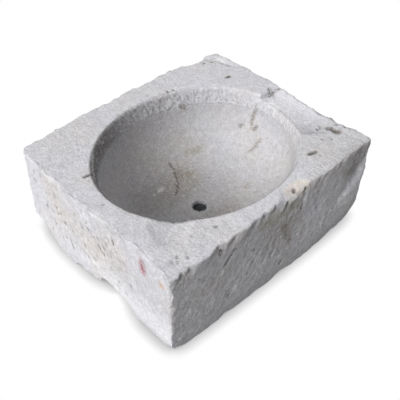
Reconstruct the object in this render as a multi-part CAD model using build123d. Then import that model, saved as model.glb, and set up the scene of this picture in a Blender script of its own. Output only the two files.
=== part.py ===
from build123d import *
import math
import os

# Old stone basin: one block of limestone, hewn on its four sides, with an oval bowl
# cut into its top and a round outlet through its floor. A short lead pipe, bedded in
# mortar from below, lines the outlet.
# The origin is on the outlet's axis at the underside. +X runs along the long front
# and back faces, +Y points from the front face to the back face, +Z is up.

# Block: reaches are from the outlet's axis to each side, at the top
block_height = 230.0
reach_left = 296.0
reach_right = 308.5
reach_front = 243.0
reach_back = 267.0
foot_height = 42.0            # the worn foot of the block ends at this height
waist_height = 125.0          # the sides are set out again at this height
foot_wear = 9.0               # the underside is this much smaller than the foot, each way
right_batter = 22.0           # the right end leans in by this much down to the underside
left_foot_swell = 12.0        # the left end's underside stands out by this much towards the back
left_swell = 1.5              # and the end above it by this much
back_swell = 16.0             # the long back face bulges by this much at its middle
back_swell_right = 14.0       # and by this much a quarter of the way in from its right end
back_swell_left = 11.0        # and from its left end
left_hollow = 7.0             # the left end's top edge falls back by this much towards the front
left_bulge = 2.0              # and stands out by this much towards the back
left_flare = 2.0              # the left end stands out by this much half way up
left_foot_flare = 7.0         # and by this much all along its foot
front_flare = 3.5             # the front face stands out by this much half way up
front_foot_flare = 3.0        # and by this much all along its foot
front_foot_swell = 6.0        # its foot bows out by this much more, away from its ends
right_swell = 3.0             # the right end's top edge stands out by this much at its middle

# Corner radii at the top and at the underside: the corners stay as sharp as at the top down to
# the foot and grow blunt below it
corner_front_left = (9.0, 34.0)
corner_front_right = (10.0, 38.0)
corner_back_right = (12.0, 34.0)
corner_back_left = (18.0, 56.0)

# The shares of its batter by which the right end has leant in at the waist and at the foot
waist_share = 0.15
foot_share = 0.55

# Bowl
bowl_length = 504.0           # along X, at the top
bowl_width = 426.0            # along Y, at the top
bowl_centre_x = 3.0           # the bowl is a little off the outlet's axis
bowl_centre_y = 8.0
floor_thickness = 47.0        # stone left under the bowl
floor_length = 92.0           # the flat around the outlet
band_depth = 42.0             # steep pecked band below the rim
band_lean = 8.0               # the band leans in by this much over its depth
rim_wear = 4.0                # worn edge of the rim, measured in and down
bowl_fullness = 0.60          # how far the wall stays steep before it turns into the floor
bowl_rings = 15               # level ovals that the curved wall is drawn through
cutter_rise = 40.0            # cutters stand this far above the top face

# Outlet
throat_radius = 18.25         # the hole that shows in the bowl
throat_height = 14.0          # bare stone below the bowl's floor, above the socket
pipe_bore_radius = 17.0
pipe_wall = 4.0
pipe_recess = 1.0             # the pipe's lip stops this far above the underside
lip_height = 3.0
lip_reach = 4.0               # the lip stands out from the pipe by this much
bedding_thickness = 5.0       # mortar between the pipe and the socket

# Worn margin at the right: a hollow across the margin that ends in a step
step_y = 45.0
worn_margin_centre = (244.0, -24.0)
worn_margin_length = 285.0
worn_margin_width = 166.0
worn_margin_depth = 20.0
worn_margin_turn = 106.0      # degrees from the X axis to the hollow's length

# Worn dip in the rim beside the front left corner
rim_dip_centre = (-196.0, -128.0)
rim_dip_length = 132.0
rim_dip_width = 92.0
rim_dip_depth = 8.0
rim_dip_turn = 42.0           # degrees from the X axis to the dip's length

# Bites out of the top edges: side, place along it, length, depth, lean from upright in degrees
top_bites = (
    ("front", 45.0, 104.0, 10.5, 18.0),
    ("front", -264.0, 24.0, 5.0, 45.0),
    ("front", -176.0, 30.0, 4.0, 40.0),
    ("front", -92.0, 44.0, 3.0, 55.0),
    ("front", 86.0, 18.0, 5.0, 55.0),
    ("front", 190.0, 62.0, 3.5, 50.0),
    ("right", -60.0, 70.0, 7.0, 62.0),
    ("right", -100.0, 70.0, 10.0, 62.0),
    ("right", -154.0, 62.0, 11.0, 62.0),
    ("back", 235.0, 66.0, 8.0, 66.0),
    ("back", -60.0, 120.0, 4.0, 60.0),
    ("left", -30.0, 54.0, 4.0, 62.0),
    ("left", 120.0, 70.0, 3.0, 62.0),
)

# Bites out of the foot, in the same terms, with the lean counted from straight down
foot_bites = (
    ("left", -57.0, 122.0, 31.0, 62.0),
    ("left", 244.0, 120.0, 18.0, 76.0),
    ("front", -150.0, 60.0, 4.0, 55.0),
    ("front", 20.0, 64.0, 5.0, 60.0),
    ("front", 205.0, 60.0, 4.0, 50.0),
    ("right", 90.0, 110.0, 10.0, 60.0),
    ("back", -90.0, 130.0, 9.0, 60.0),
    ("back", 150.0, 90.0, 8.0, 55.0),
)

# Sizes that follow from the ones above
socket_radius = pipe_bore_radius + pipe_wall + bedding_thickness
socket_height = floor_thickness - throat_height
pipe_outer_radius = pipe_bore_radius + pipe_wall
side_directions = {"front": (0, -1), "right": (1, 0), "back": (0, 1), "left": (-1, 0)}


def level(height, drop, swells, **steps):
    """One outline of the block.

    drop is the share of the way from the top down to the underside, for the corner radii.
    steps are added to the four reaches, and swells bow the four sides outwards.
    """
    reaches = {"front": reach_front, "right": reach_right, "back": reach_back, "left": reach_left}
    for side, step in steps.items():
        reaches[side] += step
    pairs = (corner_front_left, corner_front_right, corner_back_right, corner_back_left)
    corners = [top + (bottom - top) * drop for top, bottom in pairs]
    return {"height": height, "reaches": reaches, "corners": corners, "swells": swells}


# Swells are offsets at a quarter, a half and three quarters of a side's length, going
# round the block anticlockwise from above, from the front left corner
straight = (0.0, 0.0, 0.0)
back_bow = (back_swell_right, back_swell, back_swell_left)
foot_bow = (0.7 * front_foot_swell, front_foot_swell, front_foot_swell)

levels = (
    level(0.0, 1.0, {"front": foot_bow, "right": straight, "back": back_bow,
                     "left": (left_foot_swell, 0.0, 0.0)},
          front=front_foot_flare - foot_wear / 2, right=-right_batter, back=-2 * foot_wear,
          left=left_foot_flare - foot_wear),
    level(foot_height, 0.0, {"front": foot_bow, "right": straight, "back": back_bow,
                                    "left": (left_swell, 0.0, 0.0)},
          front=front_foot_flare, right=-right_batter * foot_share, back=-foot_wear / 2,
          left=left_foot_flare),
    level(waist_height, 0.0, {"front": straight, "right": straight, "back": back_bow,
                              "left": (left_swell, 0.0, 0.0)},
          front=front_flare, right=-right_batter * waist_share, left=left_flare),
    level(block_height, 0.0, {"front": straight, "right": (0.0, right_swell, 0.0),
                              "back": back_bow, "left": (left_bulge, 0.0, -left_hollow)}),
)
foot_level = levels[0]
top_level = levels[-1]


def side_line(start, end, outward, swell):
    """A side of an outline: straight, or a smooth line through three points set off its chord."""
    if not any(swell):
        return Line(start, end)
    points = [start]
    for share, offset in zip((0.25, 0.5, 0.75), swell):
        x = start[0] + (end[0] - start[0]) * share + outward[0] * offset
        y = start[1] + (end[1] - start[1]) * share + outward[1] * offset
        points.append((x, y))
    return Spline(*points, end)


def corner_arc(corner, radius, before, after):
    """The quarter circle round a corner, between the directions of its two sides."""
    inset = radius * (1 - math.sqrt(0.5))
    start = (corner[0] - before[0] * radius, corner[1] - before[1] * radius)
    middle = (corner[0] + (after[0] - before[0]) * inset, corner[1] + (after[1] - before[1]) * inset)
    end = (corner[0] + after[0] * radius, corner[1] + after[1] * radius)
    return ThreePointArc(start, middle, end)


def outline(lv):
    """The closed outline of the block at one level: four sides and four rounded corners."""
    reaches = lv["reaches"]
    radii = lv["corners"]
    low_x, high_x = -reaches["left"], reaches["right"]
    low_y, high_y = -reaches["front"], reaches["back"]
    corners = [(low_x, low_y), (high_x, low_y), (high_x, high_y), (low_x, high_y)]
    along = [(1, 0), (0, 1), (-1, 0), (0, -1)]
    lines = []
    for i, (side, outward) in enumerate(side_directions.items()):
        j = (i + 1) % 4
        run = along[i]
        start = (corners[i][0] + run[0] * radii[i], corners[i][1] + run[1] * radii[i])
        end = (corners[j][0] - run[0] * radii[j], corners[j][1] - run[1] * radii[j])
        lines.append(side_line(start, end, outward, lv["swells"][side]))
        lines.append(corner_arc(corners[j], radii[j], run, along[j]))
    return Pos(0, 0, lv["height"]) * make_face(Wire(lines))


def hewn_block():
    """The block before the bowl is cut: its outlines joined by straight hewn faces."""
    return loft([outline(lv) for lv in levels], ruled=True)


def oval(half_length, height):
    """A level oval in the bowl's proportions."""
    half_width = half_length * bowl_width / bowl_length
    return Pos(bowl_centre_x, bowl_centre_y, height) * Ellipse(half_length, half_width)


def bowl_cutter():
    """The space of the bowl: a small flat floor, a curved wall, a steep band and a worn rim."""
    rim_half = bowl_length / 2
    band_top = rim_half - rim_wear
    band_foot = band_top - band_lean
    wall_height = block_height - band_depth - floor_thickness
    floor_share = floor_length / 2 / band_foot
    wall = Bezier((floor_share, 0), (bowl_fullness, 0), (1, 1 - bowl_fullness), (1, 1))
    rings = []
    for i in range(bowl_rings + 1):
        point = wall @ (i / bowl_rings)
        rings.append(oval(point.X * band_foot, floor_thickness + point.Y * wall_height))
    wall_space = loft(rings, ruled=True)
    band = loft([rings[-1], oval(band_top, block_height - rim_wear)], ruled=True)
    rim = loft([oval(band_top, block_height - rim_wear), oval(rim_half, block_height)], ruled=True)
    above = extrude(oval(rim_half, block_height), cutter_rise)
    return wall_space + band + rim + above


def hollow_radius(length, depth):
    """The radius of the arc that is length long and depth deep."""
    return (length ** 2 / 4 + depth ** 2) / (2 * depth)


def worn_hollow(centre, turn, length, width, depth):
    """A shallow hollow in the top face: the lowest part of a wheel with a rounded tread."""
    rolling = hollow_radius(length, depth)
    tread = hollow_radius(width, depth)
    wheel = Rot(90, 0, 0) * Torus(rolling - tread, tread)
    return Pos(centre[0], centre[1], block_height + rolling - depth) * Rot(0, 0, turn) * wheel


def worn_margin():
    """The hollow across the right margin, cut off square at its step."""
    hollow = worn_hollow(worn_margin_centre, worn_margin_turn, worn_margin_length,
                         worn_margin_width, worn_margin_depth)
    size = 2 * (reach_left + reach_right)
    before_step = Pos(0, step_y - size / 2, block_height) * Box(size, size, size)
    return hollow & before_step


def rim_dip():
    """The shallow dip worn into the rim beside the front left corner."""
    return worn_hollow(rim_dip_centre, rim_dip_turn, rim_dip_length, rim_dip_width, rim_dip_depth)


def edge_point(lv, side, place):
    """The point of an outline's side at a given place along it."""
    reaches = lv["reaches"]
    ends = {"front": (-reaches["left"], reaches["right"]), "right": (-reaches["front"], reaches["back"]),
            "back": (reaches["right"], -reaches["left"]), "left": (reaches["back"], -reaches["front"])}
    swell = (0.0, *lv["swells"][side], 0.0)
    first, last = ends[side]
    quarters = 4 * (place - first) / (last - first)
    index = min(3, max(0, int(quarters)))
    offset = swell[index] + (swell[index + 1] - swell[index]) * (quarters - index)
    out_x, out_y = side_directions[side]
    reach = reaches[side] + offset
    if side in ("front", "back"):
        return Vector(place, out_y * reach, lv["height"])
    return Vector(out_x * reach, place, lv["height"])


def bite(lv, side, place, length, depth, lean, upright):
    """A ball that bites an edge, length long and depth deep, along a line that leans outwards."""
    radius = hollow_radius(length, depth)
    out_x, out_y = side_directions[side]
    angle = math.radians(lean)
    away = Vector(out_x * math.sin(angle), out_y * math.sin(angle), upright * math.cos(angle))
    centre = edge_point(lv, side, place) + away * (radius - depth)
    return Pos(centre) * Sphere(radius)


def outlet_hole():
    """The throat in the stone and the wider socket cut for the pipe from below."""
    low_end = (Align.CENTER, Align.CENTER, Align.MIN)
    throat = Cylinder(throat_radius, floor_thickness + throat_radius, align=low_end)
    return throat + Cylinder(socket_radius, socket_height, align=low_end)


def stone_block():
    """The hewn block with its bowl, outlet, worn places and broken edges."""
    stone = hewn_block() - bowl_cutter() - outlet_hole()
    stone = stone - worn_margin() - rim_dip()
    for side, place, length, depth, lean in top_bites:
        stone = stone - bite(top_level, side, place, length, depth, lean, 1)
    for side, place, length, depth, lean in foot_bites:
        stone = stone - bite(foot_level, side, place, length, depth, lean, -1)
    return stone


def turned(*points):
    """A solid turned about the outlet's axis from the corners of its section."""
    return revolve(Plane.XZ * make_face(Polyline(*points, close=True)), Axis.Z)


def outlet_liner():
    """The lead pipe: a straight bore and a lip turned out over the mortar below."""
    lip_radius = pipe_outer_radius + lip_reach
    lip_top = pipe_recess + lip_height
    return turned((pipe_bore_radius, pipe_recess), (lip_radius, pipe_recess), (lip_radius, lip_top),
                  (pipe_outer_radius, lip_top), (pipe_outer_radius, socket_height),
                  (pipe_bore_radius, socket_height))


def liner_bedding():
    """The mortar ring between the pipe and the socket, from the lip up to the shoulder."""
    low = pipe_recess + lip_height
    return turned((pipe_outer_radius, low), (socket_radius, low), (socket_radius, socket_height),
                  (pipe_outer_radius, socket_height))


os.makedirs("parts", exist_ok=True)
pieces = {
    "stone_block": stone_block(),
    "outlet_liner": outlet_liner(),
    "liner_bedding": liner_bedding(),
}
for name, piece in pieces.items():
    export_step(piece, os.path.join("parts", name + ".step"))
    print(name, "volume", round(piece.volume / 1000, 1), "cm3")
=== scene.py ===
"""Dresses the old stone basin: hewn, pecked and worn limestone round its solids, and the studio."""

import math
import random

import bmesh
import bpy
import numpy as np
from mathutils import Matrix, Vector, noise


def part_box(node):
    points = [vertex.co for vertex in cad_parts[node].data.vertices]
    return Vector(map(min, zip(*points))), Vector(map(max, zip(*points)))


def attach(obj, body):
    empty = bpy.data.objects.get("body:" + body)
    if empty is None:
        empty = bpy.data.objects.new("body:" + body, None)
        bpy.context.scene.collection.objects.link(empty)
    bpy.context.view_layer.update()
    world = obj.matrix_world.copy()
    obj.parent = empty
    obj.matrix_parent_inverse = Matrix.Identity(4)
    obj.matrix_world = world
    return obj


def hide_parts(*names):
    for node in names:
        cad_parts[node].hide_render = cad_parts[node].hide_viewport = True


bl_info = {
    "name": "Old stone basin",
    "version": (1, 0, 0),
    "blender": (4, 5, 0),
    "location": "View3D > Sidebar > Basin",
    "description": "Hewn limestone, lead pipe and mortar of an old carved basin, with its studio",
    "category": "Object",
}

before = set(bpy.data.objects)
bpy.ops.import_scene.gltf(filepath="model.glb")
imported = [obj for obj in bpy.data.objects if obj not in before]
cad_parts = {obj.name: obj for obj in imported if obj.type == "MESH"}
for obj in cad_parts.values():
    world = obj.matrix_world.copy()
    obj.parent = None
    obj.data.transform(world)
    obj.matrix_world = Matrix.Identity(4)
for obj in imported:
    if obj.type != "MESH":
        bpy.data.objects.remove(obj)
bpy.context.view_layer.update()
LOW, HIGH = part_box("stone_block")
TOP = HIGH.z

# The bowl and the outlet as the stone was cut, in metres
BOWL_CENTRE = (0.003, 0.008)
BOWL_REACH = (0.252, 0.213)
FLOOR_TOP = 0.047
BAND_FOOT = TOP - 0.042
THROAT_RADIUS = 0.01825
THROAT_FOOT = 0.033
SOCKET_RADIUS = 0.026

# The rounding near the top of the front left corner, which the skin draws out to a sharp edge
CORNER_ROUNDING = 0.011

# The turns of the tool strokes on the left and right sides and on the front and back, in degrees
END_STROKES = 58.0
LONG_STROKES = 54.0

# How wide the groove's lit slope and its dark one are, and how far apart the claw's strokes
LIT_SLOPE = 0.034
DARK_SLOPE = 0.013
CLAW_SPACING = 0.0088

# Where the skin turns by more than this many degrees, its edge is shaded sharp
SHARP_TURN = 38

# The four sides, in the order in which their distances are compared
LEFT, FRONT, RIGHT, BACK = range(4)


def metres(table):
    """A table's millimetres in metres, however deep its rows are nested."""
    if isinstance(table, tuple):
        return tuple(metres(row) for row in table)
    return table / 1000


# The tables below are in millimetres. First, how deep the top edges of the front and left sides
# are broken in, at places along x and along y.
FRONT_BREAKS = metres((
    (-288, 3), (-275, 0), (-264, 8), (-257, 2), (-246, 7), (-226, 0), (-195, 0), (-165, 8), (-159, 3),
    (-154, 6), (-150, 0), (-127, 6), (-109, 0), (-91, 0), (-64, 6), (-56, 2), (-46, 7), (-31, 0),
    (-10, 7), (22, 0), (60, 0), (80, 7), (89, 1), (118, 0), (130, 3), (137, 0), (155, 2), (163, 0),
    (180, 2), (192, 0), (206, 4), (214, 0), (236, 2), (246, 0), (276, 2), (284, 0), (300, 1),
))
LEFT_BREAKS = metres((
    (-235, 0), (-212, 6), (-185, 0), (-150, 0), (-128, 5), (-110, 1), (-95, 0), (-79, 5), (-55, 0),
    (-42, 5), (-20, 0), (5, 1), (25, 6), (45, 2), (60, 0), (90, 1), (110, 6), (130, 1), (200, 0),
    (240, 2),
))

# Scallops broken out of the back and right top edges: place along the side, length and depth
BACK_SCALLOPS = metres((
    (-240, 60, 4), (-170, 50, 3), (-105, 46, 3), (60, 60, 5), (92, 40, 5), (180, 50, 3), (262, 40, 3),
))
RIGHT_SCALLOPS = metres((
    (240, 40, 4), (180, 30, 2), (120, 50, 3), (62, 26, 2), (-112, 30, 3), (-160, 22, 4), (-212, 30, 3),
))

# The groove across the front face near its right end: a bent line of x and z, from the top down
GROOVE_LINE = metres(((300, 200), (280, 178), (262, 166), (254, 143), (229, 134), (205, 104)))

# The middle of the lit slope beside that groove, in space. The front's painted shade is left off here,
# so this slope is painted lighter too.
FACET_LINE = metres(((300, -246, 175), (286, -246, 140), (262, -246, 112)))

# Three bright fingers that run out of that slope to the left. They are painted highlights: they are
# kept out of the front's painted shade and painted pale, with no cut of their own.
FINGERS = metres((
    ((264, -240, 134), (230, -244, 140)), ((258, -243, 106), (200, -246, 109)),
    ((252, -246, 92), (206, -246, 92)),
))

# The crack down the front face from the spall: x and z
CRACK_LINE = metres(((84, 231), (73, 206), (70, 168)))

# The riser of the step in the worn right margin, and the crack at the far corner: x and y
RISER_LINE = metres(((256, 36), (276, 40), (300, 36)))
CORNER_LINE = metres(((240, 262), (262, 250), (276, 225), (279, 192)))

# Pits on each face: place, length, width, depth, and turn in degrees from the face's first axis.
# A place is y and z on the left face, x and z on the front face, x and y in plan.
PITS = {
    "left": (
        (94, 65, 32, 8, 4.5, 65), (183, 115, 13, 9, 4, 65), (16, 170, 10, 8, 3, 65),
        (113, 113, 9, 7, 3, 60), (153, 84, 10, 7, 3, 70), (-16, 163, 14, 6, 3, 65),
        (-31, 150, 18, 6, 3.5, 70), (-30, 127, 12, 6, 3, 80), (-18, 136, 24, 9, 3, 62),
        (44, 78, 12, 6, 3, 65), (39, 99, 16, 7, 3, 68), (-66, 190, 14, 6, 3, 60),
        (7, 82, 10, 6, 2.5, 60), (-100, 160, 12, 6, 2, 60), (186, 205, 12, 7, 3, 60),
        (140, 140, 12, 6, 2.5, 60),
    ),
    "front": (
        (10, 47, 14, 12, 6, 40), (-150, 184, 30, 7, 3, 54), (-160, 176, 18, 6, 3, 50),
        (-137, 197, 14, 6, 3, 54), (16, 214, 26, 7, 4, 50), (36, 206, 20, 6, 3, 56),
        (-170, 214, 14, 10, 4, 50), (-80, 120, 16, 6, 2, 54),
    ),
    "top": (
        (243, 157, 17, 8, 4, -30), (244, 246, 10, 7, 3, 10), (263, 236, 9, 6, 3, 0),
        (290, -155, 10, 8, 4, 0), (298, -173, 12, 7, 4, 70), (222, -167, 8, 6, 3, 0),
        (238, -180, 7, 6, 2, 0), (251, -130, 6, 12, 4, -45), (266, -162, 36, 10, 4, -78),
        (167, -183, 26, 10, 4, -15), (-261, -206, 16, 5, 1, 47), (-254, -215, 14, 5, 1, 47),
        (-246, -204, 16, 5, 1, 47), (-232, -218, 14, 5, 1, 47), (-141, -198, 8, 7, 3, 0),
        (-236, 91, 22, 7, 5, -5), (90, 212, 6, 20, 4, -20), (104, 208, 5, 16, 4, -20),
        (52, -231, 12, 10, 4, 30),
    ),
}

# Stains of each kind: their middle line in space, and how far they spread from it
STAINS = {
    "warm": (
        (((-302, 150, 185), (-304, 125, 140), (-302, 60, 150), (-300, 0, 125), (-298, -75, 165)), 50),
    ),
    "earth": (
        (((-100, 70, 68), (-40, 80, 56), (26, 88, 55)), 55), (((-40, -50, 56), (50, -55, 56)), 30),
        (((235, -244, 214), (262, -244, 205), (235, -244, 160)), 26),
        (((-40, -246, 170), (45, -246, 160)), 36),
    ),
    "moss": (
        (((34, 112, 60), (52, 96, 56)), 18), (((84, 136, 81), (117, 125, 86)), 12),
        (((126, -36, 70), (118, -40, 68)), 8), (((205, -244, 190), (225, -244, 176)), 14),
        (((-55, -246, 205), (45, -246, 200)), 16),
    ),
    "rust": (
        (((238, 50, 190), (235, 53, 171), (229, 53, 150), (225, 44, 136), (230, 39, 145)), 6.5),
        (((220, 12, 123), (209, 15, 108), (195, 22, 95)), 7), (((218, 73, 140), (214, 78, 132)), 6),
        (((112, 190, 186), (120, 184, 178)), 8), (((266, -148, 226), (268, -176, 230)), 10),
        (((10, -247, 160), (22, -248, 130), (34, -250, 96)), 14),
        (((53, -228, 222), (55, -236, 218)), 8), (((238, 157, 230), (248, 156, 230)), 6),
    ),
    "vein": (
        (((269, 37.5, 217), (281, 38.5, 220), (292, 39, 223.5), (304, 37, 228)), 5.2),
        (((269, 38, 218), (279, 50, 227)), 3.6), (((159, -181, 228), (177, -185, 228)), 6.5),
        (((240, 157, 230), (247, 156, 230)), 5), (((-294, -152, 196), (-295, -160, 188)), 5),
        (((262, -124, 222), (255, -134, 223)), 4), (((268, -152, 228), (265, -174, 230)), 9),
        (((-246, 93, 228), (-226, 91, 226)), 4),
        (((26, 142, 76), (27, 125, 65), (18, 104, 57), (0, 80, 50), (-16, 68, 49)), 4.5),
    ),
    "fresh": ((((40, -226, 224), (64, -226, 224), (80, -232, 226)), 16),),
    "paint": (
        (((-292, -149, 206), (-293, -152, 188)), 8.5), (((-292, -159, 204), (-293, -162, 184)), 8.5),
    ),
    "ochre": ((((-296, -210, 200), (-297, -219, 197)), 7),),
    "pale": (
        (((285, 212, 230), (284, 232, 230)), 10),
        (((30, -160, 226), (100, -172, 226), (150, -150, 226)), 8),
        # A painted highlight: a pale strip inside the left rim, where a bevel catches the light.
        (((-188, 142, 224), (-205, 114, 218), (-224, 80, 214)), 8),
        (((254, 22, 214), (257, 0, 213)), 6), (((-46, 97, 57), (-40, 98, 57)), 5),
        (((-34, 98, 56), (-30, 98, 56)), 4), (((-66, 94, 59), (-62, 94, 59)), 4),
        (((-264, -247, 100), (-256, -247, 113)), 6.5), (((-282, -247, 45), (-273, -247, 54)), 6.5),
        (((-174, -246, 138), (-168, -246, 162)), 5), (((-202, -248, 78), (-195, -248, 89)), 6),
        (((-240, -247, 29), (-231, -248, 41)), 6), (((-140, -249, 72), (-133, -249, 83)), 6),
        # The last three entries lie along the bright fingers beside the front groove. They are painted
        # highlights.
        (((146, -250, 62), (148, -250, 80)), 5.5), (((250, -243, 130), (220, -244, 139)), 6),
        (((250, -244, 101), (199, -246, 109)), 6), (((252, -246, 77), (208, -246, 84)), 5),
    ),
}

# How strongly each kind of stain covers the stone
STAIN_STRENGTHS = {"warm": 0.5, "earth": 0.45, "moss": 0.5, "rust": 0.75, "vein": 0.85, "fresh": 0.85,
                   "paint": 0.75, "ochre": 0.7, "pale": 0.85}

# Chance pits: face, turn of the strokes, how many, size, and the bounds on the face
CHANCE_PITS = (
    ("left", 60, 46, 8, (-120, 230, 50, 200)),
    ("front", 54, 16, 8, (-280, 290, 20, 215)),
    ("top", 90, 24, 6, (-290, 300, -235, 270)),
)


class BasinStoneSizes(bpy.types.PropertyGroup):
    """Sizes of the worked stone."""

    grain: bpy.props.FloatProperty(
        name="Mesh grain", description="Spacing of the points on the stone's surface",
        default=0.00358, min=0.002, max=0.02, unit="LENGTH", precision=4)
    wave_depth: bpy.props.FloatProperty(
        name="Wave depth", description="How far the hewn sides swell and sink",
        default=0.0024, min=0.0, max=0.02, unit="LENGTH", precision=4)
    scoop_depth: bpy.props.FloatProperty(
        name="Scoop depth", description="Depth of the pick's scoops on the hewn sides",
        default=0.0020, min=0.0, max=0.01, unit="LENGTH", precision=4)
    scoop_width: bpy.props.FloatProperty(
        name="Scoop width", description="Width of a scoop on the hewn sides",
        default=0.014, min=0.005, max=0.08, unit="LENGTH", precision=4)
    peck_depth: bpy.props.FloatProperty(
        name="Peck depth", description="Depth of the point's pecks in the band under the rim",
        default=0.0026, min=0.0, max=0.01, unit="LENGTH", precision=4)
    dimple_depth: bpy.props.FloatProperty(
        name="Dimple depth", description="Depth of the claw's dimples on the worn top",
        default=0.0008, min=0.0, max=0.01, unit="LENGTH", precision=4)
    groove_depth: bpy.props.FloatProperty(
        name="Groove depth", description="Depth of the broken groove across the front",
        default=0.015, min=0.0, max=0.03, unit="LENGTH", precision=4)
    chip_depth: bpy.props.FloatProperty(
        name="Chip depth", description="Largest depth of a chance chip out of an edge",
        default=0.005, min=0.0, max=0.02, unit="LENGTH", precision=4)


class BasinColours(bpy.types.PropertyGroup):
    """Colours of the stone, its stains, its painted shade and highlights, and the outlet's two
    fillings.
    """

    stone: bpy.props.FloatVectorProperty(
        name="Stone", description="Cool grey of the weathered limestone",
        subtype="COLOR", default=(0.700, 0.700, 0.745), min=0, max=1)
    warm: bpy.props.FloatVectorProperty(
        name="Warm stone", description="Pinkish buff where the limestone's own colour shows",
        subtype="COLOR", default=(0.730, 0.670, 0.620), min=0, max=1)
    # This colour also stands for painted shade: it darkens hollows, pits and the shaded left of the
    # band under the rim, and it colours the dark flecks.
    soil_and_shade: bpy.props.FloatVectorProperty(
        name="Soil", description="Grey brown dirt in pits and hollows",
        subtype="COLOR", default=(0.165, 0.155, 0.148), min=0, max=1)
    # This colour darkens the stone where it is used and stained, and it also stands for painted shade:
    # low in the bowl, on the shaded left of the band under the rim and over the front face.
    bowl: bpy.props.FloatVectorProperty(
        name="Bowl", description="How use has darkened the stone inside the bowl",
        subtype="COLOR", default=(0.53, 0.515, 0.490), min=0, max=1)
    rust: bpy.props.FloatVectorProperty(
        name="Rust", description="Brown of iron stains",
        subtype="COLOR", default=(0.285, 0.235, 0.190), min=0, max=1)
    vein: bpy.props.FloatVectorProperty(
        name="Vein", description="Dark brown of the thin vein in the bowl",
        subtype="COLOR", default=(0.170, 0.140, 0.120), min=0, max=1)
    earth: bpy.props.FloatVectorProperty(
        name="Earth stain", description="Grey brown of old water stains",
        subtype="COLOR", default=(0.400, 0.360, 0.310), min=0, max=1)
    moss: bpy.props.FloatVectorProperty(
        name="Moss stain", description="Yellow green where moss has stained the stone",
        subtype="COLOR", default=(0.400, 0.370, 0.230), min=0, max=1)
    fresh: bpy.props.FloatVectorProperty(
        name="Fresh break", description="Cream of the broken stone at the spall",
        subtype="COLOR", default=(0.760, 0.680, 0.580), min=0, max=1)
    paint: bpy.props.FloatVectorProperty(
        name="Rubbed paint", description="Dull red of a rubbed smear of paint",
        subtype="COLOR", default=(0.420, 0.140, 0.180), min=0, max=1)
    ochre: bpy.props.FloatVectorProperty(
        name="Ochre", description="Orange of a small fleck of lichen",
        subtype="COLOR", default=(0.680, 0.400, 0.200), min=0, max=1)
    # This colour also paints highlights: on the fingers beside the front groove, in a strip inside the
    # left rim and on the lower front part of the left side.
    pale: bpy.props.FloatVectorProperty(
        name="Pale scuffs", description="Nearly white where the stone is scuffed or scratched",
        subtype="COLOR", default=(0.900, 0.895, 0.905), min=0, max=1)
    lead: bpy.props.FloatVectorProperty(
        name="Lead", description="Dull grey of the lead pipe",
        subtype="COLOR", default=(0.110, 0.118, 0.126), min=0, max=1)
    mortar: bpy.props.FloatVectorProperty(
        name="Mortar", description="Buff lime mortar round the pipe",
        subtype="COLOR", default=(0.480, 0.430, 0.350), min=0, max=1)


class BasinStageSettings(bpy.types.PropertyGroup):
    """The studio: camera, key lamp, sky and floor."""

    camera_place: bpy.props.FloatVectorProperty(
        name="Camera", description="Where the camera stands",
        subtype="XYZ", unit="LENGTH", default=(-0.7051, -0.7615, 1.0823))
    camera_tilt: bpy.props.FloatProperty(
        name="Tilt", description="The camera's turn about its own X axis, from looking straight down",
        subtype="ANGLE", default=math.radians(45.597))
    camera_heading: bpy.props.FloatProperty(
        name="Heading", description="The camera's turn about the vertical",
        subtype="ANGLE", default=math.radians(-42.835))
    lens: bpy.props.FloatProperty(
        name="Lens", description="Focal length on a sensor 36 mm wide, in millimetres",
        default=54.35, min=10, max=300)
    key_direction: bpy.props.FloatVectorProperty(
        name="Key direction", description="The direction from the basin towards the key lamp",
        subtype="DIRECTION", default=(-0.83, -0.03, 0.55))
    key_strength: bpy.props.FloatProperty(
        name="Key strength", description="Strength of the key lamp", default=3.06, min=0, max=100)
    sky_strength: bpy.props.FloatProperty(
        name="Sky strength", description="Strength of the even light from all round",
        default=0.25, min=0, max=10)
    overhead_strength: bpy.props.FloatProperty(
        name="Overhead strength", description="Strength of the wide soft lamp above",
        default=0.45, min=0, max=10)
    floor_reach: bpy.props.FloatProperty(
        name="Floor reach", description="Half of the floor's width", unit="LENGTH",
        default=6.0, min=1.0, max=100.0)
    shadow_reach: bpy.props.FloatProperty(
        name="Shadow reach", description="How far the contact shadow spreads from the basin's foot",
        unit="LENGTH", default=0.042, min=0.0, max=1.0)


def ramp(low, high, value):
    """0 below low, 1 above high and smooth between, or the reverse where high is below low."""
    share = np.clip((value - low) / (high - low), 0.0, 1.0)
    return share * share * (3 - 2 * share)


def lumps(places, size, seed, octaves=1):
    """Smooth noise from about -1 to 1 at each place, with lumps about size across."""
    shift = np.array((seed * 17.13, seed * 5.71, seed * 9.37))
    return np.array([noise.fractal(p, 1.0, 2.0, octaves) for p in (places / size + shift).tolist()])


def hollows(places, size, seed):
    """1 at the middle of each of many cells about size across, falling to 0 at their borders."""
    shift = np.array((seed * 13.37, seed * 7.77, seed * 3.91))
    near = np.array([noise.voronoi(p)[0][0] for p in (places / size + shift).tolist()])
    return 1 - np.clip(near / 0.75, 0, 1) ** 2


def steps_to_line(places, line):
    """The shortest step from a run of straight stretches to each place."""
    best = np.full(len(places), 1e9)
    steps = np.zeros_like(places)
    for start, end in zip(line, line[1:]):
        a, b = np.array(start), np.array(end)
        run = b - a
        share = np.clip((places - a) @ run / (run @ run), 0, 1)
        step = places - a - share[:, None] * run
        reach = np.linalg.norm(step, axis=1)
        nearer = reach < best
        best[nearer] = reach[nearer]
        steps[nearer] = step[nearer]
    return steps


def steps_on_face(across, up, line):
    """The shortest step across and up a face from a line drawn on it to each place."""
    flat = np.stack((across, up, np.zeros(len(across))), axis=1)
    return steps_to_line(flat, [(a, b, 0.0) for a, b in line]).T[:2]


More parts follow.
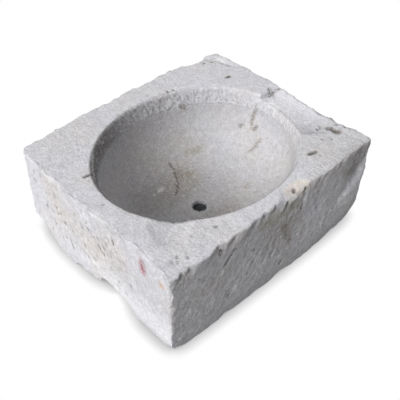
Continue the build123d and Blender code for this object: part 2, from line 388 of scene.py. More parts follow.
def rows_of(mesh, what):
    """The place ("co") or the facing ("normal") of each of a mesh's points."""
    values = np.empty(len(mesh.vertices) * 3)
    mesh.vertices.foreach_get(what, values)
    return values.reshape(-1, 3)


def placed(name, data):
    """A new object in the scene, made of a mesh, a lamp or a camera."""
    thing = bpy.data.objects.new(name, data)
    bpy.context.scene.collection.objects.link(thing)
    return thing


class StoneSkin:
    """The stone's skin while it is worked: the places and facings of its points, and its zones."""

    def __init__(self, mesh):
        self.mesh = mesh
        self.places = rows_of(mesh, "co")
        edges = np.empty(len(mesh.edges) * 2, np.int64)
        mesh.edges.foreach_get("vertices", edges)
        self.edges = edges.reshape(-1, 2)
        self.neighbours = np.bincount(edges, minlength=len(self.places))
        self.find_facings()
        self.find_zones()

    def find_facings(self):
        """Writes the places to the mesh and reads which way each point faces."""
        self.mesh.vertices.foreach_set("co", self.places.ravel())
        self.mesh.update()
        self.facings = rows_of(self.mesh, "normal")

    def find_zones(self):
        """Weights from 0 to 1 that say which part of the stone a point belongs to."""
        x, y, z = self.places.T
        up = self.facings[:, 2]
        oval = np.hypot((x - BOWL_CENTRE[0]) / BOWL_REACH[0], (y - BOWL_CENTRE[1]) / BOWL_REACH[1])
        inside = (oval < 1.012) & (z > FLOOR_TOP - 0.004)
        self.oval = oval
        self.off_axis = np.hypot(x, y)
        self.bowl = np.where(inside, ramp(1.012, 0.99, oval), 0.0)
        self.outlet = ramp(SOCKET_RADIUS + 0.004, THROAT_RADIUS + 0.002, self.off_axis)
        self.inner_wall = self.bowl * (1 - self.outlet) * (oval < 0.97)
        self.side = ramp(0.8, 0.45, np.abs(up)) * (1 - self.bowl) * (self.off_axis > 0.06)
        self.top = ramp(0.7, 0.93, up) * (1 - self.bowl) * (z > TOP * 0.7)
        self.band = self.bowl * ramp(BAND_FOOT - 0.012, BAND_FOOT + 0.006, z)
        gaps = (x - LOW.x, y - LOW.y, HIGH.x - x, HIGH.y - y)
        self.nearest = np.argmin(np.stack(gaps), axis=0)

    def strokes(self):
        """Places turned and shrunk along the tool strokes, so that a pattern drawn there is long."""
        x, y, z = self.places.T
        level = np.where(self.nearest % 2 == 0, y, x)
        turn = np.radians(np.where(self.nearest % 2 == 0, END_STROKES, LONG_STROKES))
        along = level * np.cos(turn) + z * np.sin(turn)
        across = z * np.cos(turn) - level * np.sin(turn)
        drawn = np.stack((along * 0.45, across, self.nearest * 1.0), axis=1)
        bearing = np.arctan2(y - BOWL_CENTRE[1], x - BOWL_CENTRE[0])
        wall = bearing * 0.23
        pecked = np.stack((0.6 * (z * 0.9 + wall * 0.4), wall * 0.9 - z * 0.4, 5.0 + 0 * z), axis=1)
        drawn = np.where((self.bowl > 0.5)[:, None], self.places, drawn)
        drawn = np.where((self.band > 0.5)[:, None], pecked, drawn)
        return np.where((self.top > 0.5)[:, None], self.places * (1.0, 0.7, 1.0), drawn)

    def on_face(self, face):
        """Weights of a named face's points, and their places on it."""
        x, y, z = self.places.T
        if face == "top":
            return self.top, x, y
        if face == "left":
            return self.side * (self.nearest == LEFT), y, z
        return self.side * (self.nearest == FRONT), x, z

    def mean_of_neighbours(self, values):
        """The mean of each point's neighbours' values."""
        count = len(self.neighbours)
        total = np.bincount(self.edges[:, 0], values[self.edges[:, 1]], count)
        total += np.bincount(self.edges[:, 1], values[self.edges[:, 0]], count)
        return total / self.neighbours

    def relax(self, weight, rounds):
        """Moves points towards their neighbours' middle, by their weight."""
        for _ in range(rounds):
            middle = np.stack([self.mean_of_neighbours(column) for column in self.places.T], axis=1)
            self.places += (middle - self.places) * (0.5 * weight)[:, None]
        self.find_facings()

    def cut(self, depth):
        """Sinks each point into the stone by its depth."""
        self.places -= self.facings * depth[:, None]
        self.find_facings()

    def bite(self, place, out, depth, radius):
        """Cuts a dish into the stone: the points inside a ball go straight in to its skin."""
        out = np.array(out)
        away = self.places - (np.array(place) + out * (radius - depth))
        along = away @ out
        aside = np.linalg.norm(away - along[:, None] * out, axis=1)
        floor = -np.sqrt(np.clip(radius ** 2 - aside ** 2, 0, None))
        inside = (aside < radius) & (along > floor) & (along < radius)
        inside &= self.facings @ out > 0.0
        self.places[inside] += (floor - along)[inside][:, None] * out

    def ridge(self, rounds=1):
        """How far each point stands out from its surroundings, in metres."""
        middle = self.places.copy()
        for _ in range(rounds):
            middle = np.stack([self.mean_of_neighbours(column) for column in middle.T], axis=1)
        return ((self.places - middle) * self.facings).sum(axis=1)


def applied(name, mesh, modifier, group=None, **settings):
    """The mesh with one modifier applied, which works on a group of its points if one is given."""
    holder = placed(name, mesh)
    live = holder.modifiers.new(name, modifier)
    if group is not None:
        members = holder.vertex_groups.new(name=name)
        members.add(group.tolist(), 1.0, "REPLACE")
        live.vertex_group = name
    for key, value in settings.items():
        setattr(live, key, value)
    bpy.context.view_layer.update()
    shown = holder.evaluated_get(bpy.context.evaluated_depsgraph_get())
    finished = bpy.data.meshes.new_from_object(shown)
    bpy.data.objects.remove(holder)
    finished.materials.clear()
    return finished


def even_points(mesh, grain):
    """A copy of a mesh, merged and drawn again with evenly spaced points."""
    work = bmesh.new()
    work.from_mesh(mesh)
    bmesh.ops.remove_doubles(work, verts=work.verts, dist=1e-5)
    merged = bpy.data.meshes.new("stone_merged")
    work.to_mesh(merged)
    work.free()
    return applied("even_points", merged, "REMESH", mode="VOXEL", voxel_size=grain)


def thin_underside(mesh):
    """The same mesh with far fewer points on the flat underside, away from its edges."""
    x, y, z = rows_of(mesh, "co").T
    inner = np.minimum(np.minimum(x - LOW.x, HIGH.x - x), np.minimum(y - LOW.y, HIGH.y - y)) > 0.035
    flat = np.flatnonzero(inner & (z < LOW.z + 0.001) & (np.hypot(x, y) > 0.045))
    return applied("underside", mesh, "DECIMATE", flat, ratio=1 - 0.9 * len(flat) / len(z))


def edge_place(skin, side, along):
    """The place on a side's top edge at a distance along it, and the way out there."""
    across, way = (0, 1) if side in (LEFT, RIGHT) else (1, 0)
    sign = -1 if side in (LEFT, FRONT) else 1
    near = (skin.nearest == side) & (skin.places[:, 2] > TOP - 0.014)
    near &= np.abs(skin.places[:, way] - along) < 0.009
    if not near.any():
        return None, None
    place, out = [0.0, 0.0, TOP], [0.0, 0.0, -0.12]
    place[way] = along
    place[across] = sign * (sign * skin.places[near][:, across]).max()
    place[2] = skin.places[near][:, 2].max()
    out[across] = sign
    return place, np.array(out) / np.linalg.norm(out)


def break_line(skin, side, breaks, fade):
    """Breaks a side's top edge in along its whole length, each scar running out down the face."""
    across, way = (0, 1) if side == LEFT else (1, 0)
    along, z = skin.places[:, way], skin.places[:, 2]
    stations = np.arange(along.min(), along.max(), 0.008)
    edge = np.array([(edge_place(skin, side, a)[0] or [0, 0])[across] for a in stations])
    found = edge < 0
    edge = np.interp(along, stations[found], edge[found])
    places, depths = np.array(breaks).T
    ragged = skin.places.copy()
    ragged[:, across] = 0.0
    teeth = np.clip(lumps(ragged, 0.013, 51 + side, 2), 0, 1) * 0.0028
    deep = np.interp(along + 0.7 * (TOP - z), places, depths) + teeth
    on_face = skin.side * (skin.nearest == side) * (-skin.facings[:, across] > 0.4)
    scar = deep * ramp(TOP - fade, TOP - 0.3 * fade, z) * on_face
    skin.places[:, across] += scar
    outside = (z > TOP - 0.25 * fade) & (skin.places[:, across] < edge + deep)
    outside &= (skin.oval > 1.0) & (skin.places[:, across] < edge + 0.03)
    skin.places[outside, across] = (edge + deep)[outside]
    skin.find_facings()


def sharpen_corner(skin, radius):
    """Draws the rounded corner between the left and front sides out to a sharp edge."""
    x, y, z = skin.places.T
    level = np.hypot(skin.facings[:, 0], skin.facings[:, 1])
    lead = np.maximum(np.abs(skin.facings[:, 0]), np.abs(skin.facings[:, 1]))
    short = level / np.maximum(lead, 0.5) - 1
    near = (x < LOW.x + 0.05) & (y < LOW.y + 0.05) & (level > 0.8)
    skin.cut(-radius * np.where(near, np.clip(short, 0, 0.42), 0.0) * skin.side)


def break_scallops(skin, side, scallops):
    """Bites a run of scallops, as broken by blows from above, out of a side's top edge."""
    for along, length, depth in scallops:
        place, out = edge_place(skin, side, along)
        if place is not None:
            skin.bite(place, out, depth, (length ** 2 / 4 + depth ** 2) / (2 * depth))
    skin.find_facings()


def chip_edges(skin, chosen, count, depth, radius, seed, up=0.0):
    """Bites a number of chance chips out of the chosen points' edge."""
    draw = random.Random(seed)
    points = np.flatnonzero(chosen)
    places, facings = skin.places.copy(), skin.facings.copy()
    for _ in range(count):
        i = points[draw.randrange(len(points))]
        out = Vector(facings[i]) + Vector((0, 0, up * draw.random()))
        out += Vector([draw.uniform(-0.25, 0.25) for _ in range(3)])
        deep = depth * draw.uniform(0.2, 1.0) ** 1.5
        skin.bite(places[i], out.normalized(), deep, draw.uniform(*radius))
    skin.find_facings()


def break_edges(skin, sizes):
    """Scallops and chance chips along the edges, then the long breaks of the front and left ones."""
    sharpen_corner(skin, CORNER_ROUNDING)
    break_scallops(skin, BACK, BACK_SCALLOPS)
    break_scallops(skin, RIGHT, RIGHT_SCALLOPS)
    up, z = skin.facings[:, 2], skin.places[:, 2]
    edge = (np.abs(up) > 0.3) & (np.abs(up) < 0.93) & (skin.bowl < 0.05) & (skin.off_axis > 0.1)
    crown = edge & (z > TOP - 0.016) & (skin.oval > 1.05)
    deep = sizes.chip_depth
    chip_edges(skin, crown & (skin.nearest == LEFT), 40, deep * 0.4, (0.008, 0.03), 12, 0.2)
    chip_edges(skin, crown & (skin.nearest == RIGHT), 34, deep * 0.45, (0.01, 0.05), 13, 0.2)
    chip_edges(skin, crown & (skin.nearest == BACK), 60, deep * 0.6, (0.012, 0.06), 14, 0.2)
    chip_edges(skin, edge & (z < 0.02), 140, deep * 0.6, (0.01, 0.06), 15)
    corner = (skin.side > 0.6) & (np.abs(skin.facings[:, 0]) > 0.35)
    corner &= (np.abs(skin.facings[:, 1]) > 0.35) & (z > 0.01)
    chip_edges(skin, corner, 80, deep * 0.7, (0.012, 0.06), 16)
    rim = (skin.oval > 0.97) & (skin.oval < 1.02) & (z > TOP - 0.03)
    chip_edges(skin, rim, 50, deep * 0.25, (0.008, 0.03), 17)
    break_line(skin, FRONT, FRONT_BREAKS, 0.022)
    break_line(skin, LEFT, LEFT_BREAKS, 0.05)


def break_groove(skin, sizes):
    """The front's broken groove, with a wide lit slope below it and a short dark one above."""
    weight, x, z = skin.on_face("front")
    across, up = steps_on_face(x, z, GROOVE_LINE)
    slope = 1 - np.hypot(across, up) / np.where(across > up, LIT_SLOPE, DARK_SLOPE)
    ends = ramp(0.09, 0.13, z) * ramp(0.235, 0.205, z)
    ends *= ramp(HIGH.x - 0.001, HIGH.x - 0.02, x)
    skin.cut(weight * sizes.groove_depth * np.clip(slope, 0, 1) * ends)


def crack_stone(skin):
    """The crack below the spall, the riser of the worn margin's step and the far corner's crack."""
    weight, x, z = skin.on_face("front")
    away = np.hypot(*steps_on_face(x, z, CRACK_LINE))
    skin.cut(weight * 0.006 * ramp(0.006, 0.001, away))
    weight, x, y = skin.on_face("top")
    across, up = steps_on_face(x, y, RISER_LINE)
    away = np.hypot(across, up)
    riser = np.where(up < 0, ramp(0.014, 0.0, away), -ramp(0.01, 0.0, away))
    skin.cut(0.0012 * (weight * riser))
    across, up = steps_on_face(x, y, CORNER_LINE)
    outer = weight * (across + up > 0)
    skin.cut(0.0035 * outer * ramp(0.03, 0.0, np.hypot(across, up)))


def sharpen_outlet(skin):
    """Puts the points of the outlet's bare throat on its round wall."""
    x, y, z = skin.places.T
    throat = (np.abs(skin.off_axis - THROAT_RADIUS) < 0.0024) & (z > THROAT_FOOT + 0.002)
    share = np.where(throat, THROAT_RADIUS / np.maximum(skin.off_axis, 1e-6), 1.0)
    skin.places[:, :2] *= share[:, None]
    skin.find_facings()


def corners(skin):
    """1 near the three worn top corners, all but the sharp front left one, and 0 elsewhere."""
    near = np.zeros(len(skin.places))
    for x, y in ((LOW.x, HIGH.y), (HIGH.x, HIGH.y), (HIGH.x, LOW.y)):
        away = np.linalg.norm(skin.places - (x, y, TOP), axis=1)
        near = np.maximum(near, ramp(0.045, 0.02, away))
    return near


def arrises(skin):
    """1 at the points of the sharp edges, where the skin turns, and 0 on its flats."""
    sharp = ramp(0.0004, 0.001, np.abs(skin.ridge(2)))
    return sharp * (1 - skin.outlet) * (skin.places[:, 2] > 0.004) * (1 - corners(skin))


def hew_sides(skin, sizes):
    """Swells the four sides a little, then cuts broad waves and the pick's slanting scoops."""
    z = skin.places[:, 2]
    calm = np.where(skin.nearest == FRONT, 0.85, 1.0) * (0.55 + 0.45 * ramp(0.02, 0.09, z))
    weight = skin.side * calm
    skin.cut(-0.0014 * skin.side)
    skin.cut(weight * sizes.wave_depth * lumps(skin.places, 0.13, 1, 2))
    strokes = skin.strokes()
    strokes[:, :2] += 0.005 * np.stack([lumps(skin.places, 0.03, seed) for seed in (21, 22)], axis=1)
    rough = ramp(-0.5, 0.5, lumps(skin.places, 0.08, 3))
    scoops = hollows(strokes, sizes.scoop_width, 2) - 0.5
    skin.cut(weight * sizes.scoop_depth * scoops * (0.3 + 0.7 * rough))
    skin.cut(weight * 0.0015 * lumps(skin.places, 0.012, 4, 2) * (0.5 + 0.5 * rough))


def peck_bowl(skin, sizes):
    """Pecks under the rim, and a calmer wall below them."""
    strokes = skin.strokes()
    strokes[:, :2] += 0.003 * np.stack([lumps(skin.places, 0.012, seed) for seed in (24, 25)], axis=1)
    pecked = skin.band * (0.35 + 0.65 * ramp(TOP - 0.002, TOP - 0.012, skin.places[:, 2]))
    skin.cut(pecked * sizes.peck_depth * (hollows(strokes, 0.0068, 5) - 0.4))
    calm = skin.bowl * (1 - skin.band) * (1 - skin.outlet)
    low = ramp(0.15, 0.05, skin.places[:, 2])
    skin.cut(calm * 0.0012 * lumps(skin.places, 0.03, 6, 2))
    skin.cut(calm * (0.0007 + 0.0005 * low) * (hollows(strokes, 0.011, 7) - 0.4))


def dress_top(skin, sizes):
    """Gentle unevenness of the worn top, its dimples, and the claw's strokes at the front right."""
    skin.cut(skin.top * 0.001 * lumps(skin.places, 0.05, 8, 2))
    skin.cut(skin.top * sizes.dimple_depth * (hollows(skin.strokes(), 0.01, 9) - 0.4))
    x, y = skin.places[:, 0], skin.places[:, 1]
    comb = 0.5 + 0.5 * np.cos(2 * math.pi * (x + 0.007 * lumps(skin.places, 0.02, 27)) / CLAW_SPACING)
    combed = skin.top * ramp(0.09, 0.12, x) * ramp(-0.2, -0.225, y)
    skin.cut(combed * 0.0009 * comb)


def sink_pits(skin):
    """The pits that stand out, then many small chance ones along the tool strokes."""
    draw = random.Random(31)
    pits = [(face, *metres(row[:5]), row[5]) for face, rows in PITS.items() for row in rows]
    for face, turn, count, size, box in CHANCE_PITS:
        left, right, foot, head = metres(box)
        for _ in range(count):
            along, level = draw.uniform(left, right), draw.uniform(foot, head)
            long = metres(size) * draw.uniform(0.7, 1.8)
            slant = turn + draw.uniform(-20, 20)
            pits.append((face, along, level, long, long * 0.5, draw.uniform(0.05, 0.2) * long, slant))
    sunk, depth = np.zeros(len(skin.places)), np.zeros(len(skin.places))
    faces = {face: skin.on_face(face) for face in PITS}
    for face, along, level, long, wide, deep, turn in pits:
        weight, u, v = faces[face]
        c, s = math.cos(math.radians(turn)), math.sin(math.radians(turn))
        near = (np.abs(u - along) < long) & (np.abs(v - level) < long)
        du, dv = u[near] - along, v[near] - level
        reach = np.hypot((du * c + dv * s) / (long / 2), (dv * c - du * s) / (max(wide, 0.006) / 2))
        dish = weight[near] * np.clip(1.2 - reach ** 2, 0, 1)
        sunk[near] = np.maximum(sunk[near], dish * min(1.0, deep / 0.003))
        depth[near] = np.maximum(depth[near], deep * dish)
    skin.cut(depth)
    return sunk


def stain(skin, kind):
    """How strongly a named kind of stain colours each point."""
    found = np.zeros(len(skin.places))
    fray = lumps(skin.places, 0.008, 41, 3)
    for line, spread in metres(STAINS[kind]):
        step = steps_to_line(skin.places, line)
        out = (step * skin.facings).sum(axis=1)
        reach = np.linalg.norm(step - out[:, None] * skin.facings, axis=1)
        share = ramp(1.2, 0.2, reach / spread + 0.6 * fray)
        found = np.maximum(found, share * (np.abs(out) < 0.025))
    return found


def paint_attribute(skin, name, values):
    """Keeps one number per point on the mesh for the stone's finish."""
    attribute = skin.mesh.attributes.new(name, "FLOAT", "POINT")
    attribute.data.foreach_set("value", np.clip(values, 0, 1).astype(np.float32))


def groove_slope(skin):
    """How far each point is from the lit slope beside the groove, or from its thinner fingers."""
    slope = np.linalg.norm(steps_to_line(skin.places, FACET_LINE), axis=1)
    for finger in FINGERS:
        slope = np.minimum(slope, 0.008 + np.linalg.norm(steps_to_line(skin.places, finger), axis=1))
    return slope


def paint_stone(skin, sunk):
    """Keeps on the mesh where the stone is stained, soiled and flecked, where use and painted shade
    darken it and painted highlights lighten it, and its strokes.
    """
    x, y, z = skin.places.T
    # Painted light: the lower front part of the left side is lifted with pale colour, and further down
    # it gets fewer flecks.
    foot = skin.side * (skin.nearest == LEFT) * ramp(0.14, 0.05, z)
    foot *= ramp(0.1, -0.08, y)
    for kind in STAIN_STRENGTHS:
        foot_painted_light = 0.6 * foot if kind == "pale" else 0.0
        paint_attribute(skin, kind, np.maximum(stain(skin, kind), foot_painted_light))
    # Soil and painted shade: darker in hollows and pits, as dirt and as painted shade, but not near
    # the step's riser; the shaded left of the band under the rim is painted darker too.
    broad, fine = skin.ridge(6), skin.ridge(1)
    soil_and_shade = ramp(0.0002, -0.004, broad) + ramp(-0.0001, -0.0009, fine) * 0.6
    soil_and_shade *= ramp(0.0, 0.034, np.hypot(x - 0.272, y - 0.036))
    soil_and_shade += 0.3 * skin.band * ramp(0.02, -0.08, x + 0.4 * y)
    paint_attribute(skin, "soil_and_shade", 0.75 * soil_and_shade + 0.95 * sunk)
    # Wear and painted shade in the bowl: darker low down on the left and in the middle, as stains and
    # as painted shade, and lighter to the right, where the light falls; the band under the rim is
    # painted darker on its shaded left.
    low = ramp(0.13, 0.05, z) * ramp(0.1, -0.06, x)
    front = skin.side * (skin.nearest == FRONT)
    left = skin.side * (skin.nearest == LEFT) * ramp(0.05, 0.12, z)
    middle = ramp(0.13, 0.05, np.hypot(x - 0.02, y - 0.02))
    wall = 0.53 + 0.17 * low + 0.16 * middle - 0.08 * ramp(0.1, 0.22, x)
    band = 0.18 + 0.82 * ramp(0.12, -0.06, x + 0.4 * y)
    wear_and_shade = skin.bowl * (wall * (1 - skin.band) + band * skin.band)
    # Painted shade on the front face: darker all over, less on the lit slope and the fingers beside
    # the groove and less towards the right; darker still along its top edge and above the groove, off
    # the lit slope.
    wear_and_shade += front * (0.08 + 0.3 * ramp(0.011, 0.022, groove_slope(skin)))
    wear_and_shade -= front * 0.06 * ramp(-0.02, 0.1, x)
    painted_edge_shade = 0.28 * ramp(0.195, 0.215, z)
    painted_edge_shade = np.maximum(painted_edge_shade, 0.5 * ramp(0.15, 0.18, z) * ramp(0.19, 0.25, x))
    wear_and_shade += front * painted_edge_shade * ramp(0.006, 0.02, groove_slope(skin))
    # The left side is darker towards its front end, the front and left sides are lighter and darker at
    # random, and the top is darker at its front right.
    wear_and_shade += left * (0.07 + 0.05 * ramp(0.18, 0.08, y) + 0.12 * ramp(0.05, -0.05, y))
    wear_and_shade += (front + left) * 0.15 * lumps(skin.places, 0.045, 62, 3)
    wear_and_shade += skin.top * 0.14 * ramp(0.08, 0.2, x) * ramp(-0.08, -0.14, y)
    paint_attribute(skin, "wear_and_shade", wear_and_shade)
    patchy = ramp(-0.45, 0.45, lumps(skin.places, 0.09, 61, 2))
    worn = 1 - 0.7 * ramp(0.04, 0.18, x)
    sides = skin.side * np.where(skin.nearest == LEFT, 0.45, 0.8) * (1 - 0.7 * foot)
    sides += 0.5 * front * ramp(-0.05, -0.2, x) * ramp(0.2, 0.08, z)
    scuffed = ramp(0.06, 0.02, np.hypot(x - 0.095, y - 0.035))
    rough = skin.bowl * (worn * (0.55 + 0.45 * skin.band) + 0.5 * scuffed) + sides
    paint_attribute(skin, "flecks", 0.14 + 0.86 * rough * (0.5 + 0.5 * patchy))
    strokes = skin.mesh.attributes.new("strokes", "FLOAT_VECTOR", "POINT")
    strokes.data.foreach_set("vector", skin.strokes().astype(np.float32).ravel())


def feed(tree, socket, value):
    """Links an input socket to another node's output, or sets it to a number or colour."""
    if isinstance(value, bpy.types.NodeSocket):
        tree.links.new(value, socket)
    else:
        socket.default_value = value


def add_node(tree, kind, **sockets):
    """A shader node with its input sockets set to numbers or fed from other nodes' outputs."""
    node = tree.nodes.new("ShaderNode" + kind)
    for key, value in sockets.items():
        feed(tree, node.inputs[key.replace("_", " ")], value)
    return node


def kept(tree, name, output="Fac"):
    """The numbers or places kept on the mesh under a name."""
    node = add_node(tree, "Attribute")
    node.attribute_name = name
    return node.outputs[output]


def noise_at(tree, place, scale, detail, roughness=0.6):
    """Noise at the places that another node gives."""
    node = add_node(tree, "TexNoise", Vector=place, Scale=scale, Detail=detail, Roughness=roughness)
    return node.outputs["Fac"]


def grain_noise(tree, *settings):
    """Noise in the piece's own space."""
    return noise_at(tree, add_node(tree, "TexCoord").outputs["Object"], *settings)


def stroke_noise(tree, size):
    """Noise drawn out along the tool strokes."""
    return noise_at(tree, kept(tree, "strokes", "Vector"), 1 / size, 3.0)


def shaped(tree, value, low, high, to_low=0.0, to_high=1.0):
    """A value's range from low to high, stretched to a new range and clamped."""
    node = add_node(tree, "MapRange", Value=value, From_Min=low, From_Max=high,
                    To_Min=to_low, To_Max=to_high)
    return node.outputs["Result"]


def combined(tree, kind, a, b):
    """The sum, product or larger of two values, by the kind of combination."""
    node = add_node(tree, "Math")
    node.operation = kind
    feed(tree, node.inputs[0], a)
    feed(tree, node.inputs[1], b)
    return node.outputs[0]


def product(tree, a, b):
    """Two values multiplied."""
    return combined(tree, "MULTIPLY", a, b)


def mixed(tree, share, first, second, kind="MIX"):
    """Two colours mixed by a share."""
    node = add_node(tree, "Mix")
    node.data_type = "RGBA"
    node.blend_type = kind
    feed(tree, node.inputs["Factor"], share)
    colours = [s for s in node.inputs if s.type == "RGBA"]
    for socket, value in zip(colours, (first, second)):
        feed(tree, socket, value if isinstance(value, bpy.types.NodeSocket) else (*value, 1.0))
    return [s for s in node.outputs if s.type == "RGBA"][0]


def new_material(name):
    """A new material, its node tree and its shader."""
    material = bpy.data.materials.new(name)
    material.use_nodes = True
    tree = material.node_tree
    shader = next(n for n in tree.nodes if n.type == "BSDF_PRINCIPLED")
    return material, tree, shader


def finish(tree, shader, colour, roughness, height, strength, depth):
    """Gives a shader its colour and roughness, and a bump of some strength and depth."""
    bump = add_node(tree, "Bump", Strength=strength, Distance=depth, Height=height)
    feed(tree, shader.inputs["Base Color"], colour)
    feed(tree, shader.inputs["Roughness"], roughness)
    feed(tree, shader.inputs["Normal"], bump.outputs["Normal"])


def limestone(colours):
    """Weathered limestone: mottled grey, flecked along the strokes, with soil and stains, and with
    painted shade and painted highlights in its colour.
    """
    material, tree, shader = new_material("limestone")
    broad = shaped(tree, grain_noise(tree, 9.0, 4.0), 0.42, 0.66, 0.0, 0.35)
    colour = mixed(tree, broad, colours.stone, colours.warm)
    frayed = shaped(tree, grain_noise(tree, 230.0, 3.0), 0.4, 0.56, 0.35, 1.0)
    shares = {}
    for kind, strength in STAIN_STRENGTHS.items():
        shares[kind] = product(tree, product(tree, kept(tree, kind), strength), frayed)
        if kind != "pale":
            colour = mixed(tree, shares[kind], colour, getattr(colours, kind))
    patchy = shaped(tree, grain_noise(tree, 60.0, 4.0), 0.3, 0.6, 0.5, 1.0)
    # Soil and painted shade in hollows and pits.
    soil_and_shade = product(tree, kept(tree, "soil_and_shade"), patchy)
    colour = mixed(tree, soil_and_shade, colour, colours.soil_and_shade)
    # Wear and painted shade: the bowl, the band's shaded left and the front face are multiplied
    # darker.
    colour = mixed(tree, kept(tree, "wear_and_shade"), colour, colours.bowl, "MULTIPLY")
    # Pale scuffs, and painted highlights on the groove's fingers, inside the left rim and on the left
    # side's foot.
    colour = mixed(tree, shares["pale"], colour, colours.pale)
    flecks = kept(tree, "flecks")
    dark = product(tree, shaped(tree, stroke_noise(tree, 0.0046), 0.56, 0.64), flecks)
    colour = mixed(tree, product(tree, dark, 0.52), colour, colours.soil_and_shade)
    light = product(tree, shaped(tree, stroke_noise(tree, 0.0042), 0.43, 0.35), flecks)
    colour = mixed(tree, product(tree, light, 0.72), colour, colours.pale)
    mottle = shaped(tree, grain_noise(tree, 60.0, 4.0, 0.7), 0.3, 0.7, 0.87, 1.09)
    speckle = shaped(tree, grain_noise(tree, 210.0, 3.0, 0.8), 0.3, 0.7, 0.84, 1.14)
    shade = product(tree, mottle, speckle)
    grey = add_node(tree, "CombineColor", Red=shade, Green=shade, Blue=shade)
    colour = mixed(tree, 1.0, colour, grey.outputs[0], "MULTIPLY")
    shader.inputs["Specular IOR Level"].default_value = 0.25
    tooled = product(tree, stroke_noise(tree, 0.0055), 1.3)
    height = combined(tree, "ADD", tooled, grain_noise(tree, 260.0, 5.0, 0.75))
    finish(tree, shader, colour, 0.93, height, 0.7, 0.0018)
    return material


def dull_lead(colours):
    """Old lead: dull grey with pale patches of oxide."""
    material, tree, shader = new_material("lead")
    oxide = shaped(tree, grain_noise(tree, 120.0, 5.0), 0.45, 0.7)
    pale = [min(1.0, 2.2 * c) for c in colours.lead]
    shader.inputs["Metallic"].default_value = 0.6
    finish(tree, shader, mixed(tree, oxide, colours.lead, pale),
           shaped(tree, oxide, 0.0, 1.0, 0.5, 0.8), grain_noise(tree, 200.0, 4.0), 0.3, 0.0006)
    return material


def lime_mortar(colours):
    """Gritty lime mortar."""
    material, tree, shader = new_material("lime_mortar")
    grit = shaped(tree, grain_noise(tree, 500.0, 4.0, 0.8), 0.35, 0.65)
    dark = [0.55 * c for c in colours.mortar]
    finish(tree, shader, mixed(tree, grit, dark, colours.mortar), 0.95, grit, 0.8, 0.001)
    return material


class BASIN_OT_stone(bpy.types.Operator):
    """Makes the hewn stone block with its bowl"""

    bl_idname = "basin.stone"
    bl_label = "Stone block"

    def execute(self, context):
        sizes, colours = context.scene.basin_stone, context.scene.basin_colours
        rough = StoneSkin(even_points(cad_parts["stone_block"].data, sizes.grain))
        rough.relax(rough.inner_wall, 6)
        break_edges(rough, sizes)
        break_groove(rough, sizes)
        crack_stone(rough)
        skin = StoneSkin(thin_underside(even_points(rough.mesh, sizes.grain)))
        skin.relax(skin.inner_wall, 4)
        skin.relax(corners(skin), 8)
        skin.relax(-0.9 * arrises(skin), 2)
        hew_sides(skin, sizes)
        peck_bowl(skin, sizes)
        dress_top(skin, sizes)
        sharpen_outlet(skin)
        sunk = sink_pits(skin)
        paint_stone(skin, sunk)
        skin.places = np.clip(skin.places, tuple(LOW), tuple(HIGH))
        skin.find_facings()
        skin.mesh.name = "basin_stone"
        stone = placed("basin_stone", skin.mesh)
        stone.data.materials.append(limestone(colours))
        stone.data.shade_smooth()
        stone.data.set_sharp_from_angle(angle=math.radians(SHARP_TURN))
        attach(stone, "root")
        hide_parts("stone_block")
        return {"FINISHED"}


def finish_node(name, material):
    """Gives a solid that shows as it is its finish."""
    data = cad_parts[name].data
    data.materials.clear()
    data.materials.append(material)


class BASIN_OT_liner(bpy.types.Operator):
    """Finishes the lead pipe in the outlet"""

    bl_idname = "basin.liner"
    bl_label = "Lead pipe"

    def execute(self, context):
        finish_node("outlet_liner", dull_lead(context.scene.basin_colours))
        return {"FINISHED"}


class BASIN_OT_bedding(bpy.types.Operator):
    """Finishes the mortar round the lead pipe"""

    bl_idname = "basin.bedding"
    bl_label = "Mortar bedding"

    def execute(self, context):
        finish_node("liner_bedding", lime_mortar(context.scene.basin_colours))
        return {"FINISHED"}


def either_shader(tree, share, first, second, end):
    """Puts out the first shader, or by a share the second."""
    both = add_node(tree, "MixShader", Fac=share)
    tree.links.new(first.outputs[0], both.inputs[1])
    tree.links.new(second.outputs[0], both.inputs[2])
    tree.links.new(both.outputs[0], end.inputs["Surface"])


def studio_floor(stage):
    """A plain pale floor that looks white, darker only close to what stands on it: the camera sees it
    glow, with a painted contact shadow from ambient occlusion.
    """
    work = bmesh.new()
    bmesh.ops.create_grid(work, x_segments=1, y_segments=1, size=stage.floor_reach)
    mesh = bpy.data.meshes.new("floor")
    work.to_mesh(mesh)
    work.free()
    floor = placed("floor", mesh)
    material = bpy.data.materials.new("floor")
    material.use_nodes = True
    tree = material.node_tree
    tree.nodes.clear()
    end = add_node(tree, "OutputMaterial")
    matt = add_node(tree, "BsdfDiffuse", Color=(0.35, 0.35, 0.36, 1.0))
    # A painted contact shadow: the glow the camera sees is dimmed where ambient occlusion finds the
    # basin near.
    near = add_node(tree, "AmbientOcclusion", Distance=stage.shadow_reach)
    near.samples = 16
    white = shaped(tree, near.outputs["AO"], 0.25, 0.8, 0.38, 1.0)
    glow = add_node(tree, "Emission", Strength=white)
    rays = add_node(tree, "LightPath").outputs
    seen = combined(tree, "MAXIMUM", rays["Is Camera Ray"], rays["Is Glossy Ray"])
    either_shader(tree, seen, matt, glow, end)
    mesh.materials.append(material)


def studio_sky(stage):
    """Even light from all round, which the camera sees as white."""
    world = bpy.data.worlds.new("studio")
    bpy.context.scene.world = world
    world.use_nodes = True
    tree = world.node_tree
    tree.nodes.clear()
    light = add_node(tree, "Background", Color=(0.98, 0.99, 1.0, 1.0), Strength=stage.sky_strength)
    white = add_node(tree, "Background", Color=(1.0, 1.0, 1.0, 1.0), Strength=1.0)
    rays = add_node(tree, "LightPath").outputs
    either_shader(tree, rays["Is Camera Ray"], light, white, add_node(tree, "OutputWorld"))


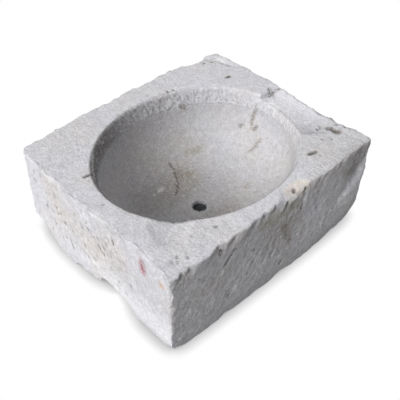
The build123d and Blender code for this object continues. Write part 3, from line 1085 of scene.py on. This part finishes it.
def studio_lamp(name, direction, strength, width):
    """A soft lamp far off in one direction, as wide as its angle."""
    lamp = bpy.data.lights.new(name, "SUN")
    lamp.energy = strength
    lamp.angle = math.radians(width)
    lamp.color = (1.0, 0.995, 0.985)
    placed(name, lamp).rotation_euler = Vector(direction).to_track_quat("Z", "Y").to_euler()


def studio_camera(stage):
    """The camera at the photograph's viewing angle."""
    data = bpy.data.cameras.new("camera")
    data.lens = stage.lens
    data.sensor_width = 36.0
    camera = placed("camera", data)
    camera.location = stage.camera_place
    camera.rotation_euler = (stage.camera_tilt, 0.0, stage.camera_heading)
    bpy.context.scene.camera = camera


class BASIN_OT_stage(bpy.types.Operator):
    """Sets up the floor, the lamp, the sky and the camera"""

    bl_idname = "basin.stage"
    bl_label = "Studio"

    def execute(self, context):
        stage = context.scene.basin_stage
        studio_floor(stage)
        studio_sky(stage)
        studio_lamp("key", stage.key_direction, stage.key_strength, 38)
        studio_lamp("overhead", (0.0, 0.0, 1.0), stage.overhead_strength, 110)
        studio_camera(stage)
        context.scene.view_settings.view_transform = "Standard"
        return {"FINISHED"}


class BASIN_PT_panel(bpy.types.Panel):
    """Lists the basin's pieces and its studio"""

    bl_label = "Stone basin"
    bl_idname = "BASIN_PT_panel"
    bl_space_type = "VIEW_3D"
    bl_region_type = "UI"
    bl_category = "Basin"

    def draw(self, context):
        for operator in PIECES:
            self.layout.operator(operator.bl_idname)
        for name, group in GROUPS.items():
            box = self.layout.box()
            for setting in group.__annotations__:
                box.prop(getattr(context.scene, name), setting)


GROUPS = {"basin_stone": BasinStoneSizes, "basin_colours": BasinColours,
          "basin_stage": BasinStageSettings}
PIECES = (BASIN_OT_stone, BASIN_OT_liner, BASIN_OT_bedding, BASIN_OT_stage)


def register():
    for group in GROUPS.values():
        bpy.utils.register_class(group)
    for piece in PIECES:
        bpy.utils.register_class(piece)
    bpy.utils.register_class(BASIN_PT_panel)
    for name, group in GROUPS.items():
        setattr(bpy.types.Scene, name, bpy.props.PointerProperty(type=group))


def unregister():
    for name in GROUPS:
        delattr(bpy.types.Scene, name)
    bpy.utils.unregister_class(BASIN_PT_panel)
    for piece in reversed(PIECES):
        bpy.utils.unregister_class(piece)
    for group in reversed(list(GROUPS.values())):
        bpy.utils.unregister_class(group)


def main():
    register()
    bpy.ops.basin.stone()
    bpy.ops.basin.liner()
    bpy.ops.basin.bedding()
    bpy.ops.basin.stage()


if __name__ == "__main__":
    main()
